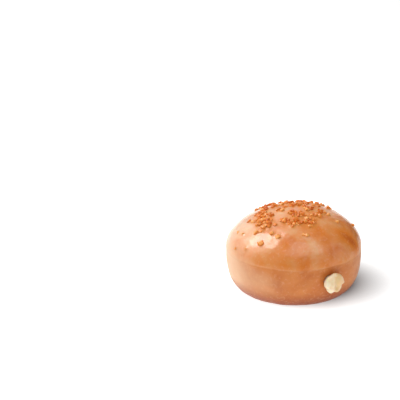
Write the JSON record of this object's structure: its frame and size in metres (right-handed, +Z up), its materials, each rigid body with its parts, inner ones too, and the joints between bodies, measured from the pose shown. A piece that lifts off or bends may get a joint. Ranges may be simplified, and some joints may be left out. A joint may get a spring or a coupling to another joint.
{
  "type": "doughnut hole",
  "caption": "Round filled doughnut hole, glazed, with coarse brown sugar on its dome and custard showing at the filling hole.",
  "frame": {"origin": "middle of the flat base, on the surface that the doughnut hole stands on", "axes": "+Z up through the dome; -Y out through the filling hole; +X to the right of someone who faces the filling hole"},
  "size_m": [0.0447, 0.0483, 0.0279],
  "materials": {
    "dough": "fried yeast dough under a thin clear glaze, glossy",
    "custard": "soft set custard, smooth and moist",
    "sugar": "coarse brown sugar crystals, clear amber"
  },
  "bodies": {
    "root": {"dough": "dough", "custard": "custard"}
  },
  "joints": []
}
